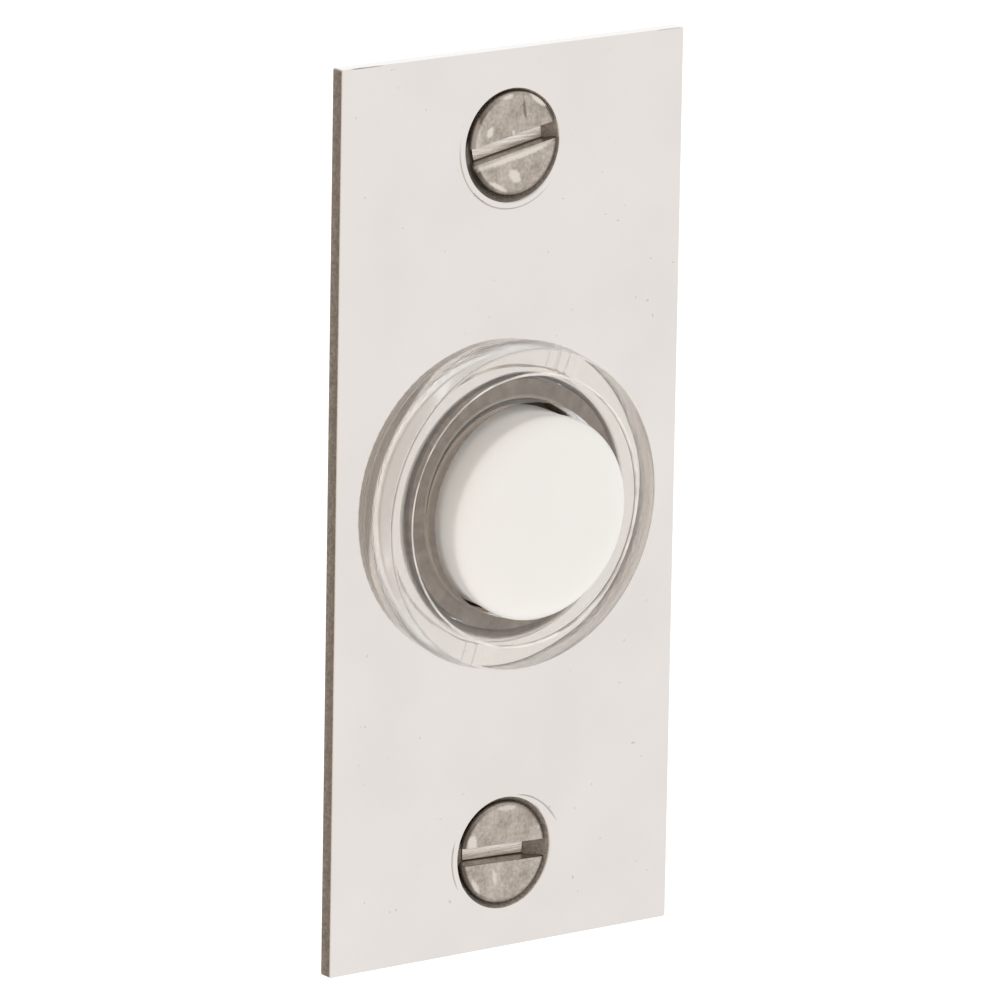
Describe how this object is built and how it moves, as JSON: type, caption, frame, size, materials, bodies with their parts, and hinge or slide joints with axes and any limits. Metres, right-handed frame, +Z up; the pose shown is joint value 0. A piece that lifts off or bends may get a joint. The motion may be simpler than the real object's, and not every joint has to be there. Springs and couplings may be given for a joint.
{
  "type": "doorbell push button",
  "caption": "Rectangular nickel door plate with countersunk screws, a clear ring and a white push button that springs back; switch barrel and wire terminals behind.",
  "frame": {"origin": "centre of the plate's back face, on the wall plane and on the push axis", "axes": "+Z up along the plate's height, +Y into the wall, so the front faces -Y"},
  "size_m": [0.0318, 0.0244, 0.0698],
  "materials": {
    "polished_nickel": "polished",
    "plated_steel": "satin",
    "clear_plastic": "gloss",
    "white_plastic": "gloss",
    "brown_phenolic": "matte",
    "spring_steel": "satin",
    "bronze_strip": "satin",
    "brass_strip": "satin",
    "black_phenolic": "matte"
  },
  "bodies": {
    "plate_and_switch": {"face_plate": "polished_nickel", "mounting_screws": "plated_steel", "lens_ring": "clear_plastic", "switch_housing": "brown_phenolic", "retaining_ring": "spring_steel", "return_spring": "spring_steel", "contact_left": "brass_strip", "contact_right": "brass_strip", "rear_cover": "black_phenolic", "cover_screws": "plated_steel", "terminal_screws": "brass_strip", "terminal_clamps": "brass_strip"},
    "button": {"push_button": "white_plastic", "contact_bridge": "bronze_strip", "stem_clip": "spring_steel"}
  },
  "joints": [
    {"name": "button_press", "type": "slide", "parent": "plate_and_switch", "child": "button", "axis": [0, 1, 0], "range_m": [0, 0.0016], "stiffness_N_per_m": 1250, "springref_m": -0.0008, "deforming": ["return_spring"]}
  ]
}
